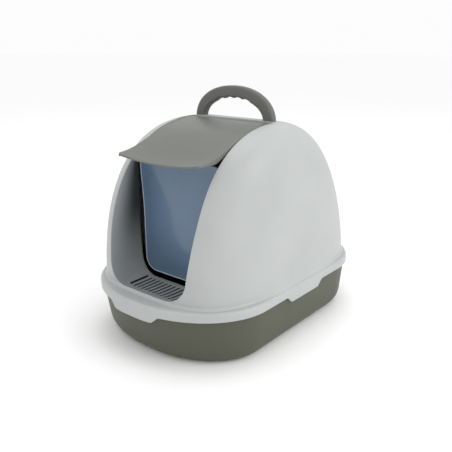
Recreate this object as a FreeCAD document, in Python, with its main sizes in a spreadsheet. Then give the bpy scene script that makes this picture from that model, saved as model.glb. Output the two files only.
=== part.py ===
import FreeCAD, Part
import math
import os
import Sketcher

# Hooded cat litter box, in millimetres.
# X runs across the box, -Y is the entrance side, +Z is up.
# The origin is the middle of the footprint, on the surface that the tray stands on.

doc = FreeCAD.newDocument("hooded_litter_box")
V = FreeCAD.Vector

# ---------------------------------------------------------------- driving dimensions

DIMENSIONS = {
    # plan outline shared by the tray and the hood's skirt
    "box_width": 380.0,
    "box_length": 560.0,
    "corner_width": 180.0,
    "corner_length": 148.0,
    "wall": 3.0,
    # tray
    "tray_rim_height": 108.0,
    "tray_rim_inset": 3.7,
    "tray_floor": 3.5,
    "tray_draft_side": 8.0,
    "tray_draft_end": 22.0,
    "tray_round_height": 32.0,
    "tray_round_depth": 24.0,
    # hood skirt and grip tabs
    "skirt_bottom": 94.5,
    "flange_top": 111.4,
    "flange_round": 6.0,
    "tab_drop": 13.0,
    "tab_length": 100.0,
    "tab_slope": 7.0,
    # dome: half width, reach to the front and rear, and the exponents of its curves
    "dome_base": 108.4,
    "dome_top": 407.4,
    "dome_half_width": 186.2,
    "dome_front": 262.0,
    "dome_rear": 238.0,
    "dome_centre": 11.0,
    "dome_lean": 6.5,
    "side_power": 8.2,
    "side_rise": 1.51,
    "front_power": 2.53,
    "front_rise": 2.3,
    "rear_power": 1.84,
    "rear_rise": 1.42,
    "plan_power_base": 3.5,
    "plan_power_top": 4.76,
    "plan_power_bend": 1.7,
    # entrance: mouth in the dome, tunnel behind it, step with a sloping front and drain slots
    "mouth_bottom": 117.0,
    "mouth_corner": 42.0,
    "mouth_half_bottom": 97.5,
    "mouth_half_low": 102.5,
    "mouth_low_height": 212.0,
    "mouth_half_middle": 105.5,
    "mouth_middle_height": 267.0,
    "mouth_half_top": 104.5,
    "mouth_top_height": 377.0,
    "roof_slot_gap": 0.6,
    "tunnel_half_front": 100.0,
    "tunnel_half_middle": 105.0,
    "tunnel_middle": 215.0,
    "tunnel_half_rear": 108.0,
    "tunnel_rear": 150.0,
    "tunnel_top": 365.0,
    "step_height": 100.0,
    "step_slope_end": 215.0,
    "step_thickness": 3.0,
    "slot_count": 16.0,
    "slot_pitch": 10.4,
    "slot_width": 4.5,
    "slot_front": 213.0,
    "slot_rear": 157.0,
    # ledges under the edges of the roof slot, as depths below the roof and widths past its edge
    "ledge_top": 5.6,
    "ledge_bottom": 8.1,
    "ledge_inward": 4.5,
    "ledge_outward": 4.0,
    "ledge_web_top": 1.5,
    "ledge_web_inner": 1.2,
    "hinge_boss_radius": 7.0,
    # lid
    "lid_half_width": 102.0,
    "lid_recess": 1.3,
    "lid_axis_front": 3.0,
    "lid_axis_height": 400.5,
    "lid_barrel_radius": 4.0,
    "lid_pin_radius": 2.0,
    "lid_pin_inner": 90.0,
    "lid_pin_outer": 111.0,
    "visor_reach": 208.0,
    "visor_height": 351.0,
    "visor_bend": 46.0,
    "visor_bend_rise": 12.0,
    "visor_tip": 22.0,
    "visor_tip_rise": 5.0,
    "visor_corner": 9.0,
    # swing door and its axle
    "door_axis_front": 150.0,
    "door_axis_height": 355.0,
    "door_half_width": 96.5,
    "door_bottom": 110.0,
    "door_top": 345.0,
    "door_thickness": 2.5,
    "door_corner": 28.0,
    "door_barrel_radius": 4.2,
    "door_barrel_half": 81.0,
    "axle_radius": 2.0,
    "axle_half": 90.0,
    "hanger_inner": 82.0,
    "hanger_outer": 92.0,
    "hanger_radius": 6.0,
    # carry handle and its screws
    "handle_centre": 13.0,
    "handle_depth": 16.0,
    "handle_width": 24.5,
    "handle_half_span": 86.0,
    "handle_foot": 403.6,
    "handle_crown": 457.25,
    "handle_bend": 47.0,
    "handle_edge": 5.0,
    "grip_pitch": 22.0,
    "grip_radius": 20.0,
    "grip_depth": 2.2,
    "screw_radius": 2.0,
    "screw_head_radius": 4.5,
    "screw_head_height": 2.6,
    "screw_length": 20.0,
    "seat_rim": 2.6,
    "seat_floor": 4.0,
    # gaps
    "running_gap": 0.06,
    "socket_gap": 0.2,
}

sheet = doc.addObject("Spreadsheet::Sheet", "Dimensions")
for row, (alias, value) in enumerate(DIMENSIONS.items(), start=1):
    sheet.set(f"A{row}", alias)
    sheet.set(f"B{row}", str(value))
    sheet.setAlias(f"B{row}", alias)
doc.recompute()


def dim(alias):
    """The number in the sheet's cell of that name."""
    return float(sheet.get(alias))


def bind(obj, **expressions):
    """Tie properties of an object to cells of the sheet."""
    for name, expression in expressions.items():
        obj.setExpression(name.replace("__", "."), expression)


def feature(label, shape):
    """A sub-part whose shape is made by this file's own functions."""
    obj = doc.addObject("Part::Feature", label)
    obj.Shape = shape
    obj.Placement = FreeCAD.Placement()
    obj.Label = label
    return obj


# ---------------------------------------------------------------- curves


def box_outline(inset_side, inset_end, z):
    """Closed outline of the box at a height: straight sides joined by elliptical corners."""
    half_width = dim("box_width") / 2 - inset_side
    half_length = dim("box_length") / 2 - inset_end
    reach_x = dim("corner_width") - inset_side
    reach_y = dim("corner_length") - inset_end
    middle_x, middle_y = half_width - reach_x, half_length - reach_y
    edges = []
    for quadrant, (sign_x, sign_y) in enumerate(((1, 1), (-1, 1), (-1, -1), (1, -1))):
        centre = V(sign_x * middle_x, sign_y * middle_y, z)
        ellipse = Part.Ellipse(centre, reach_x, reach_y)
        start = quadrant * math.pi / 2
        edges.append(Part.ArcOfEllipse(ellipse, start, start + math.pi / 2).toShape())
    sides = []
    for index, edge in enumerate(edges):
        following = edges[(index + 1) % 4]
        sides.append(edge)
        sides.append(Part.makeLine(edge.lastVertex().Point, following.firstVertex().Point))
    return Part.Wire(sides)


def dome_sizes(rise):
    """Half width, front reach, rear reach, plan exponent and centre of the dome's section at a rise."""
    sizes = []
    for reach, side in (("dome_half_width", "side"), ("dome_front", "front"), ("dome_rear", "rear")):
        share = (1 - rise ** dim(f"{side}_rise")) ** (1 / dim(f"{side}_power"))
        sizes.append(dim(reach) * share)
    growth = dim("plan_power_top") - dim("plan_power_base")
    power = dim("plan_power_base") + growth * rise ** dim("plan_power_bend")
    centre = dim("dome_centre") + dim("dome_lean") * rise
    return sizes + [power, centre]


def dome_section(rise, inset=0.0, directions=72):
    """Closed horizontal section of the dome; rise goes from 0 at its base to 1 at its top."""
    height = dim("dome_top") - dim("dome_base")
    half_width, front, rear, power, centre = dome_sizes(rise)
    points = []
    for step in range(directions):
        angle = 2 * math.pi * step / directions
        reach = (rear if math.sin(angle) > 0 else front) - inset
        across = abs(math.cos(angle) / (half_width - inset)) ** power
        along = abs(math.sin(angle) / reach) ** power
        radius = (across + along) ** (-1 / power)
        points.append(V(radius * math.cos(angle), centre + radius * math.sin(angle), 0))
    z = dim("dome_base") + (height - inset) * rise
    section = Part.BSplineCurve()
    parameters = [step / directions for step in range(directions + 1)]
    section.interpolate([V(p.x, p.y, z) for p in points], PeriodicFlag=True, Parameters=parameters)
    return Part.Wire([section.toShape()])


# The dome's sections come closer together towards its top, where it curves in fastest.
DOME_RISES = [0.0, 0.15, 0.3, 0.45, 0.6, 0.72, 0.82, 0.9, 0.95, 0.98, 0.993, 0.998]


def dome_solid(inset=0.0):
    """Solid bounded by the dome's surface, or by a surface a wall's thickness inside it."""
    return Part.makeLoft([dome_section(rise, inset) for rise in DOME_RISES], True, False)


def roof_point(rise, across):
    """Point of the dome's front slope at a rise, in the plane x = across."""
    half_width, front, rear, power, centre = dome_sizes(rise)
    share = (1 - (across / half_width) ** power) ** (1 / power)
    return centre - front * share, dim("dome_base") + (dim("dome_top") - dim("dome_base")) * rise


def offset_line(points, distance):
    """The same open line of (y, z) points, moved square to itself towards the inside."""
    moved = []
    for index, (y, z) in enumerate(points):
        before = points[max(index - 1, 0)]
        after = points[min(index + 1, len(points) - 1)]
        run, fall = after[0] - before[0], after[1] - before[1]
        length = math.hypot(run, fall)
        moved.append((y - fall / length * distance, z + run / length * distance))
    return moved


def strip(points, top, bottom, x_low, x_high):
    """Plate that follows an open line of (y, z) points, between two offsets from it."""
    edges = []
    ends = []
    for distance in (top, bottom):
        line = [V(x_low, y, z) for y, z in offset_line(points, distance)]
        spline = Part.BSplineCurve()
        spline.interpolate(line)
        edges.append(spline.toShape())
        ends.append((line[0], line[-1]))
    edges.append(Part.makeLine(ends[0][0], ends[1][0]))
    edges.append(Part.makeLine(ends[0][1], ends[1][1]))
    face = Part.Face(Part.Wire(Part.__sortEdges__(edges)))
    return face.extrude(V(x_high - x_low, 0, 0))


def prism(points, direction):
    """Straight-sided prism from a closed list of corners."""
    return Part.Face(Part.makePolygon(points + [points[0]])).extrude(direction)


def rod(radius, x_low, x_high, y, z):
    """Round rod along X."""
    return Part.makeCylinder(radius, x_high - x_low, V(x_low, y, z), V(1, 0, 0))


def mirrored(shape):
    """The shape on the other side of the middle plane."""
    return shape.mirror(V(0, 0, 0), V(1, 0, 0))


# ---------------------------------------------------------------- tray


def tray_outline(z, rounding):
    """Outline of the tray at a height: drafted wall, drawn in further by the bottom's rounding."""
    share = 1 - z / dim("tray_rim_height")
    inset = dim("tray_rim_inset") + rounding
    side = inset + dim("tray_draft_side") * share
    end = inset + dim("tray_draft_end") * share
    return box_outline(side, end, z)


def tray_solid(wall, floor, rim):
    """Solid bounded by the tray's outside, or by its inside when a wall thickness is given."""
    height, depth = dim("tray_round_height") - floor, dim("tray_round_depth")
    sections = []
    for step in range(7):
        turn = math.radians(15 * step)
        z = floor + height * (1 - math.cos(turn))
        sections.append(tray_outline(z, wall + depth * (1 - math.sin(turn))))
    bowl = Part.makeLoft(sections, True, False)
    sides = Part.makeLoft([sections[-1], tray_outline(rim, wall)], True, True)
    return bowl.fuse(sides)


outer = tray_solid(0.0, 0.0, dim("tray_rim_height"))
inner = tray_solid(dim("wall"), dim("tray_floor"), dim("tray_rim_height") + 1)
feature("tray", outer.cut(inner))

# ---------------------------------------------------------------- hood


def flange_solid():
    """Ring that carries the dome: a flat top, a rounded edge and a skirt over the tray's rim."""
    low, top, radius = dim("skirt_bottom"), dim("flange_top"), dim("flange_round")
    block = Part.Face(box_outline(0, 0, low)).extrude(V(0, 0, top - radius - low))
    rounding = []
    for step in range(6):
        turn = math.radians(15 * step)
        inset = radius * (1 - math.cos(turn))
        rounding.append(box_outline(inset, inset, top - radius + radius * math.sin(turn)))
    block = block.fuse(Part.makeLoft(rounding, True, False))
    hollow = Part.Face(box_outline(dim("wall"), dim("wall"), low))
    return block.cut(hollow.extrude(V(0, 0, top - low - dim("wall"))))


def tab_profile(half_length, drop):
    """Corners of a grip tab seen square on: (along, down) pairs with sloped ends."""
    slope = dim("tab_slope")
    return [
        (-half_length - slope, 0.0),
        (-half_length, -drop),
        (half_length, -drop),
        (half_length + slope, 0.0),
    ]


def grip_tabs():
    """Four tabs below the skirt, in the middle of each side."""
    top = dim("skirt_bottom") + 1
    drop = dim("tab_drop") + 1
    low = top - drop
    band = Part.Face(box_outline(0, 0, low)).extrude(V(0, 0, drop))
    band = band.cut(Part.Face(box_outline(dim("wall"), dim("wall"), low)).extrude(V(0, 0, drop)))
    profile = tab_profile(dim("tab_length") / 2, drop)
    width, length = dim("box_width"), dim("box_length")
    along_x = prism([V(a, -length, top + down) for a, down in profile], V(0, 2 * length, 0))
    along_y = prism([V(-width, a, top + down) for a, down in profile], V(2 * width, 0, 0))
    return band.common(along_x.fuse(along_y))


def mouth_prism():
    """Space cut from the front of the dome: the mouth, and the slot that the lid closes."""
    bottom, corner = dim("mouth_bottom"), dim("mouth_corner")
    low = dim("mouth_half_bottom")
    ceiling = dim("dome_top") + 10
    right = []
    for step in range(7):
        turn = math.radians(15 * step)
        right.append(V(low - corner + corner * math.sin(turn), 0, bottom + corner * (1 - math.cos(turn))))
    for level in ("low", "middle", "top"):
        right.append(V(dim(f"mouth_half_{level}"), 0, dim(f"mouth_{level}_height")))
    right.append(V(dim("mouth_half_top"), 0, ceiling))
    left = [V(-point.x, 0, point.z) for point in reversed(right)]
    rear = dim("lid_barrel_radius") - dim("lid_axis_front") + dim("roof_slot_gap")
    reach = dim("box_length") / 2 + 20
    corners = [point + V(0, -reach, 0) for point in right + left]
    return prism(corners, V(0, reach + rear, 0))


def tunnel_plan(offset, z_low, z_high):
    """Upright prism over the tunnel's plan, grown by an offset on its sides."""
    side = [
        V(dim("tunnel_half_front") + offset, -dim("dome_front"), z_low),
        V(dim("tunnel_half_middle") + offset, -dim("tunnel_middle"), z_low),
        V(dim("tunnel_half_rear") + offset, -dim("tunnel_rear"), z_low),
    ]
    other = [V(-point.x, point.y, point.z) for point in side]
    curves = []
    for line in (side, other):
        spline = Part.BSplineCurve()
        spline.interpolate(line)
        curves.append(spline.toShape())
    closing = [Part.makeLine(side[0], other[0]), Part.makeLine(side[-1], other[-1])]
    face = Part.Face(Part.Wire(Part.__sortEdges__(curves + closing)))
    return face.extrude(V(0, 0, z_high - z_low))


def entrance_step():
    """Floor of the tunnel: a slope behind the mouth's edge, then a level part with drain slots."""
    level = dim("step_height")
    top = [(-dim("dome_front"), dim("mouth_bottom"))]
    top += [(-dim("step_slope_end"), level), (-dim("tunnel_rear"), level)]
    low = [(y, z - dim("step_thickness")) for y, z in reversed(top)]
    half = dim("box_width") / 2
    slab = prism([V(-half, y, z) for y, z in top + low], V(2 * half, 0, 0))
    count = int(dim("slot_count"))
    length = dim("slot_front") - dim("slot_rear")
    for index in range(count):
        x = (index - (count - 1) / 2) * dim("slot_pitch")
        slot = Part.makeBox(dim("slot_width"), length, 100)
        slot.translate(V(x - dim("slot_width") / 2, -dim("slot_front"), 60))
        slab = slab.cut(slot)
    return slab


# Rises of the roof's front slope that the ledges and the lid run through.
LEDGE_RISES = [0.985, 0.96, 0.92, 0.87]
LID_RISES = [0.985, 0.965, 0.93, 0.88]


def lid_ledges():
    """Rebates under the edges of the roof slot, which the closed lid lies on."""
    half = dim("mouth_half_top")
    outer_x, bottom = half + dim("ledge_outward"), dim("ledge_bottom")
    line = [roof_point(rise, half) for rise in LEDGE_RISES]
    shelf = strip(line, dim("ledge_top"), bottom, half - dim("ledge_inward"), outer_x)
    web = strip(line, dim("ledge_web_top"), bottom, half + dim("ledge_web_inner"), outer_x)
    return shelf.fuse(web)


def roof_fittings():
    """What hangs under one side of the roof: a ledge, a hinge boss and a seat for a handle's foot."""
    axis_y, axis_z = -dim("lid_axis_front"), dim("lid_axis_height")
    boss_end = dim("lid_pin_outer") + dim("wall")
    boss = rod(dim("hinge_boss_radius"), dim("mouth_half_top") + 0.5, boss_end, axis_y, axis_z)
    span, width, depth = dim("handle_half_span"), dim("handle_width"), dim("handle_depth")
    rim, floor = dim("seat_rim"), dim("seat_floor")
    seat = Part.makeBox(width + 2 * rim, depth + 2 * rim, floor + 1)
    corner = V(span - width / 2 - rim, dim("handle_centre") - depth / 2 - rim, dim("handle_foot") - floor)
    seat.translate(corner)
    return boss.fuse([seat, lid_ledges()])


def roof_openings():
    """Space cut from one side of the roof: a handle's foot, its screw and a hinge pin."""
    gap, foot = dim("socket_gap"), dim("handle_foot")
    span, width, depth = dim("handle_half_span"), dim("handle_width"), dim("handle_depth")
    socket = Part.makeBox(width + 2 * gap, depth + 2 * gap, 20)
    socket.translate(V(span - width / 2 - gap, dim("handle_centre") - depth / 2 - gap, foot))
    screw_radius = dim("screw_radius") + gap
    screw_hole = Part.makeCylinder(screw_radius, 10, V(span, dim("handle_centre"), foot - 9))
    bore_radius = dim("lid_pin_radius") + dim("running_gap")
    axis_y, axis_z = -dim("lid_axis_front"), dim("lid_axis_height")
    bore = rod(bore_radius, dim("lid_half_width"), dim("lid_pin_outer") + 0.5, axis_y, axis_z)
    return socket.fuse([screw_hole, bore])


def build_hood():
    wall = dim("wall")
    below = V(0, 0, -30)
    throat = Part.Face(dome_section(0.0, wall)).extrude(below)
    # everything inside the shell ends in the middle of its wall
    limit = dome_solid(wall / 2).fuse(Part.Face(dome_section(0.0, wall / 2)).extrude(below))
    tunnel_low, tunnel_high = dim("step_height") - dim("step_thickness") - 1, dim("tunnel_top")
    sides = tunnel_plan(wall, tunnel_low, tunnel_high)
    sides = sides.cut(tunnel_plan(0.0, tunnel_low - 1, tunnel_high + 1))
    step = entrance_step().common(tunnel_plan(wall, 0, dim("tunnel_top")))
    shell = dome_solid().fuse(flange_solid()).cut(dome_solid(wall).fuse(throat))
    hood = shell.fuse([sides.common(limit), step.common(limit), grip_tabs()])
    hood = hood.cut(mouth_prism())
    fittings, openings = roof_fittings().common(limit), roof_openings()
    hood = hood.fuse([fittings, mirrored(fittings)])
    return hood.cut(openings.fuse(mirrored(openings)))


feature("hood", build_hood())

# ---------------------------------------------------------------- lid


def lid_line():
    """Line of the lid's top, from its hinge forward over the roof and out to the visor's edge."""
    half = dim("mouth_half_top")
    top = dim("lid_axis_height") + dim("lid_barrel_radius")
    roof = offset_line([roof_point(rise, half) for rise in LID_RISES], dim("lid_recess"))
    visor_y, visor_z = -dim("visor_reach"), dim("visor_height")
    flare = [
        (visor_y + dim("visor_bend"), visor_z + dim("visor_bend_rise")),
        (visor_y + dim("visor_tip"), visor_z + dim("visor_tip_rise")),
        (visor_y, visor_z),
    ]
    return [(-dim("lid_axis_front"), top), (-20.0, top - 0.3)] + roof + flare


def visor_mask():
    """Plan of the lid, with rounded corners at the visor."""
    half, reach, corner = dim("lid_half_width"), dim("visor_reach"), dim("visor_corner")
    block = Part.makeBox(2 * half, reach + 20, 140, V(-half, -reach - 1, 300))
    front = [edge for edge in block.Edges if edge.BoundBox.YMax < -reach and edge.BoundBox.ZLength > 100]
    return block.makeFillet(corner, front)


def build_lid():
    half = dim("lid_half_width")
    axis_y, axis_z = -dim("lid_axis_front"), dim("lid_axis_height")
    plate = strip(lid_line(), 0.0, dim("wall"), -half, half).common(visor_mask())
    barrel = rod(dim("lid_barrel_radius"), -half, half, axis_y, axis_z)
    door_y, door_z = -dim("door_axis_front"), dim("door_axis_height")
    inner, outer_x, radius = dim("hanger_inner"), dim("hanger_outer"), dim("hanger_radius")
    ear = Part.makeBox(outer_x - inner, 2 * radius, 14, V(inner, door_y - radius, door_z))
    inside_plate = [V(inner - 1, y, z - dim("wall") / 2) for y, z in lid_line()]
    floor = [V(inner - 1, -dim("visor_reach"), 300), V(inner - 1, axis_y, 300)]
    ear = ear.common(prism(inside_plate + floor, V(outer_x - inner + 2, 0, 0)))
    hanger = ear.fuse(rod(radius, inner, outer_x, door_y, door_z))
    axle_hole = rod(dim("axle_radius"), inner - 1, dim("axle_half"), door_y, door_z)
    hanger = hanger.cut(axle_hole)
    pin_hole = rod(dim("lid_pin_radius"), dim("lid_pin_inner"), half + 1, axis_y, axis_z)
    lid = plate.fuse([barrel, hanger, mirrored(hanger)])
    return lid.cut([pin_hole, mirrored(pin_hole)]).removeSplitter()


feature("lid", build_lid())

# ---------------------------------------------------------------- pins, axle and screws


def bound_rod(label, radius, length, x, y, z):
    """Cylinder along X whose sizes and place are expressions of the sheet."""
    pin = doc.addObject("Part::Cylinder", label)
    pin.Label = label
    pin.Placement = FreeCAD.Placement(V(0, 0, 0), FreeCAD.Rotation(V(0, 1, 0), 90))
    bind(pin, Radius=radius, Height=length)
    bind(pin, Placement__Base__x=x, Placement__Base__y=y, Placement__Base__z=z)
    return pin


D = "Dimensions."
pin_length = f"{D}lid_pin_outer - {D}lid_pin_inner"
for side, start in (("right", f"{D}lid_pin_inner"), ("left", f"-{D}lid_pin_outer")):
    bound_rod(
        f"lid_hinge_pin_{side}", f"{D}lid_pin_radius", pin_length,
        start, f"-{D}lid_axis_front", f"{D}lid_axis_height",
    )
bound_rod(
    "door_axle", f"{D}axle_radius", f"2 * {D}axle_half",
    f"-{D}axle_half", f"-{D}door_axis_front", f"{D}door_axis_height",
)


def handle_screw(label, x):
    """Screw that holds one foot of the handle from under the roof."""
    shank = doc.addObject("Part::Cylinder", f"{label}_shank")
    bind(shank, Radius=f"{D}screw_radius", Height=f"{D}screw_length")
    head = doc.addObject("Part::Cylinder", f"{label}_head")
    bind(head, Radius=f"{D}screw_head_radius", Height=f"{D}screw_head_height")
    for part, drop in ((shank, "0"), (head, f"{D}screw_head_height")):
        bind(part, Placement__Base__x=x, Placement__Base__y=f"{D}handle_centre")
        bind(part, Placement__Base__z=f"{D}handle_foot - {D}seat_floor - {drop}")
    screw = doc.addObject("Part::Fuse", label)
    screw.Base = shank
    screw.Tool = head
    return screw


screws = doc.addObject("Part::Compound", "handle_screws")
screws.Label = "handle_screws"
screws.Links = [
    handle_screw("screw_right", f"{D}handle_half_span"),
    handle_screw("screw_left", f"-{D}handle_half_span"),
]

# ---------------------------------------------------------------- bodies made from sketches


def plane_of(body, role):
    """One of the body's own origin planes."""
    return next(item for item in body.Origin.OriginFeatures if item.Role == role)


def sketch_on(body, name, role, shift=0.0):
    """Empty sketch on an origin plane, moved square to it when a shift is given."""
    sketch = body.newObject("Sketcher::SketchObject", name)
    sketch.AttachmentSupport = [(plane_of(body, role), "")]
    sketch.MapMode = "FlatFace"
    sketch.AttachmentOffset = FreeCAD.Placement(V(0, 0, shift), FreeCAD.Rotation())
    return sketch


def add_rectangle(sketch, left, right, low, high):
    """Rectangle whose four sides are tied to expressions of the sheet."""
    corners = [V(-1, -1, 0), V(1, -1, 0), V(1, 1, 0), V(-1, 1, 0)]
    first = sketch.GeometryCount
    for start, end in zip(corners, corners[1:] + corners[:1]):
        sketch.addGeometry(Part.LineSegment(start, end))
    for index in range(4):
        sketch.addConstraint(Sketcher.Constraint("Coincident", first + index, 2, first + (index + 1) % 4, 1))
    for index, kind in enumerate(("Horizontal", "Vertical", "Horizontal", "Vertical")):
        sketch.addConstraint(Sketcher.Constraint(kind, first + index))
    sides = (("DistanceX", 0, left), ("DistanceX", 2, right), ("DistanceY", 0, low), ("DistanceY", 2, high))
    for kind, index, expression in sides:
        # each distance runs from the sketch's origin to the first point of one side
        number = sketch.addConstraint(Sketcher.Constraint(kind, -1, 1, first + index, 1, 1.0))
        sketch.setExpression(f"Constraints[{number}]", expression)


def add_circle(sketch, x, y, radius):
    """Circle whose centre and radius are tied to expressions of the sheet."""
    number = sketch.addGeometry(Part.Circle(V(0, 0, 0), V(0, 0, 1), 1.0))
    for kind, expression in (("DistanceX", x), ("DistanceY", y)):
        constraint = sketch.addConstraint(Sketcher.Constraint(kind, -1, 1, number, 3, 1.0))
        sketch.setExpression(f"Constraints[{constraint}]", expression)
    constraint = sketch.addConstraint(Sketcher.Constraint("Radius", number, 1.0))
    sketch.setExpression(f"Constraints[{constraint}]", radius)


def symmetric_pad(body, name, sketch, length):
    """Pad that grows the same way to both sides of its sketch."""
    pad = body.newObject("PartDesign::Pad", name)
    pad.Profile = sketch
    pad.Midplane = True
    bind(pad, Length=length)
    return pad


def symmetric_pocket(body, name, sketch, length):
    """Pocket that cuts the same way to both sides of its sketch."""
    pocket = body.newObject("PartDesign::Pocket", name)
    pocket.Profile = sketch
    pocket.Midplane = True
    bind(pocket, Length=length)
    return pocket


def new_body(label):
    body = doc.addObject("PartDesign::Body", label)
    body.Label = label
    return body


# The body's own frame has its origin on the door's axis, so the panel hangs below it.
door = new_body("swing_door")
bind(door, Placement__Base__y=f"-{D}door_axis_front", Placement__Base__z=f"{D}door_axis_height")
outline = sketch_on(door, "door_outline", "XZ_Plane")
half_door = f"{D}door_half_width"
add_rectangle(
    outline, f"-{half_door}", half_door,
    f"{D}door_bottom - {D}door_axis_height", f"{D}door_top - {D}door_axis_height",
)
symmetric_pad(door, "door_panel", outline, f"{D}door_thickness")
doc.recompute()
panel = door.Tip
near_bottom = 0.9 * (dim("door_bottom") - dim("door_axis_height"))
low_edges = []
for number, edge in enumerate(panel.Shape.Edges, start=1):
    bounds = edge.BoundBox
    if bounds.YLength > 1 and bounds.XLength < 0.01 and bounds.ZMax < near_bottom:
        low_edges.append(f"Edge{number}")
corners = door.newObject("PartDesign::Fillet", "door_corners")
corners.Base = (panel, low_edges)
bind(corners, Radius=f"{D}door_corner")
neck = sketch_on(door, "door_neck_outline", "XZ_Plane")
add_rectangle(
    neck, f"-{D}door_barrel_half", f"{D}door_barrel_half",
    f"{D}door_top - {D}door_axis_height - 1.0", "0.0",
)
symmetric_pad(door, "door_neck", neck, f"{D}door_thickness")
barrel_circle = sketch_on(door, "door_barrel_circle", "YZ_Plane")
add_circle(barrel_circle, "0.0", "0.0", f"{D}door_barrel_radius")
symmetric_pad(door, "door_barrel", barrel_circle, f"2 * {D}door_barrel_half")
bore_circle = sketch_on(door, "door_bore_circle", "YZ_Plane")
add_circle(bore_circle, "0.0", "0.0", f"{D}axle_radius + {D}running_gap")
symmetric_pocket(door, "door_bore", bore_circle, f"2 * {D}door_barrel_half + 4.0")

# The handle's own frame lies in the plane of its arch, level with the underside of its feet.
handle = new_body("carry_handle")
bind(handle, Placement__Base__y=f"{D}handle_centre", Placement__Base__z=f"{D}handle_foot")


def arch_path(body):
    """Centre line of the arch: an upright leg, a bend, the grip, a bend and a leg."""
    sketch = sketch_on(body, "handle_path", "XZ_Plane")
    span, bend = dim("handle_half_span"), dim("handle_bend")
    rise = dim("handle_crown") - dim("handle_foot")
    quarter = math.pi / 2
    right_bend = Part.Circle(V(span - bend, rise - bend, 0), V(0, 0, 1), bend)
    left_bend = Part.Circle(V(bend - span, rise - bend, 0), V(0, 0, 1), bend)
    pieces = [
        Part.LineSegment(V(span, 0, 0), V(span, rise - bend, 0)),
        Part.ArcOfCircle(right_bend, 0, quarter),
        Part.LineSegment(V(span - bend, rise, 0), V(bend - span, rise, 0)),
        Part.ArcOfCircle(left_bend, quarter, 2 * quarter),
        Part.LineSegment(V(-span, rise - bend, 0), V(-span, 0, 0)),
    ]
    for piece in pieces:
        sketch.addGeometry(piece)
    # (first geometry, its point, second geometry, its point) of each tangent joint
    for joint in ((0, 2, 1, 1), (1, 2, 2, 1), (2, 2, 3, 1), (3, 2, 4, 1)):
        sketch.addConstraint(Sketcher.Constraint("Tangent", *joint))
    sketch.addConstraint(Sketcher.Constraint("Vertical", 0))
    sketch.addConstraint(Sketcher.Constraint("Horizontal", 2))
    sketch.addConstraint(Sketcher.Constraint("Equal", 1, 3))
    sizes = (
        (Sketcher.Constraint("DistanceX", -1, 1, 0, 1, span), f"{D}handle_half_span"),
        (Sketcher.Constraint("DistanceY", -1, 1, 2, 1, rise), f"{D}handle_crown - {D}handle_foot"),
        (Sketcher.Constraint("Radius", 1, bend), f"{D}handle_bend"),
        (Sketcher.Constraint("DistanceX", 4, 2, -1, 1, span), f"{D}handle_half_span"),
    )
    for constraint, expression in sizes:
        number = sketch.addConstraint(constraint)
        sketch.setExpression(f"Constraints[{number}]", expression)
    sketch.addConstraint(Sketcher.Constraint("PointOnObject", 0, 1, -1))
    sketch.addConstraint(Sketcher.Constraint("PointOnObject", 4, 2, -1))
    return sketch


path = arch_path(handle)
foot = sketch_on(handle, "handle_section", "XY_Plane")
half_bar = f"{D}handle_width / 2"
add_rectangle(
    foot, f"{D}handle_half_span - {half_bar}", f"{D}handle_half_span + {half_bar}",
    f"-{D}handle_depth / 2", f"{D}handle_depth / 2",
)
doc.recompute()
arch = handle.newObject("PartDesign::AdditivePipe", "handle_arch")
arch.Profile = foot
arch.Spine = (path, [f"Edge{number}" for number in range(1, 6)])
doc.recompute()
long_edges = [
    f"Edge{number}"
    for number, edge in enumerate(arch.Shape.Edges, start=1)
    if edge.BoundBox.YLength < 0.01 and edge.BoundBox.ZMax > 0.01
]
rounded = handle.newObject("PartDesign::Fillet", "handle_rounding")
rounded.Base = (arch, long_edges)
bind(rounded, Radius=f"{D}handle_edge")
grips = sketch_on(handle, "grip_circles", "XZ_Plane")
underside = f"{D}handle_crown - {D}handle_foot - {half_bar}"
add_circle(
    grips, f"-1.5 * {D}grip_pitch", f"{underside} - {D}grip_radius + {D}grip_depth", f"{D}grip_radius",
)
first_grip = symmetric_pocket(handle, "finger_grip", grips, f"{D}handle_depth + 2.0")
doc.recompute()
grip_row = handle.newObject("PartDesign::LinearPattern", "finger_grips")
grip_row.Originals = [first_grip]
grip_row.Direction = (grips, ["H_Axis"])
grip_row.Occurrences = 4
bind(grip_row, Length=f"3 * {D}grip_pitch")
handle.Tip = grip_row
foot_bore = sketch_on(handle, "foot_bores", "XY_Plane")
add_circle(foot_bore, f"{D}handle_half_span", "0.0", f"{D}screw_radius")
add_circle(foot_bore, f"-{D}handle_half_span", "0.0", f"{D}screw_radius")
bores = handle.newObject("PartDesign::Pocket", "screw_bores")
bores.Profile = foot_bore
bores.Reversed = True
bind(bores, Length=f"{D}screw_length - {D}seat_floor")
doc.recompute()

# ---------------------------------------------------------------- checks and files

SUB_PARTS = [
    "tray", "hood", "lid", "lid_hinge_pin_right", "lid_hinge_pin_left", "swing_door",
    "door_axle", "carry_handle", "handle_screws",
]


def check(obj):
    """Stop if an object failed to compute."""
    if "Invalid" in obj.State or "Error" in obj.State:
        raise RuntimeError(f"{obj.Name} failed: {obj.State}")


for obj in doc.Objects:
    check(obj)
os.makedirs("parts", exist_ok=True)
for label in SUB_PARTS:
    shape = doc.getObjectsByLabel(label)[0].Shape
    if shape.isNull() or not shape.isValid():
        raise RuntimeError(f"{label} has no valid shape")
    box = shape.BoundBox
    print(f"{label}: {len(shape.Solids)} solid, {shape.Volume / 1000:.1f} cm3, ", end="")
    print(f"x {box.XMin:.1f}..{box.XMax:.1f}, y {box.YMin:.1f}..{box.YMax:.1f}, ", end="")
    print(f"z {box.ZMin:.1f}..{box.ZMax:.1f}")
    shape.exportStep(f"parts/{label}.step")
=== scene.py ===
import math
from bisect import bisect
from collections import namedtuple

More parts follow.
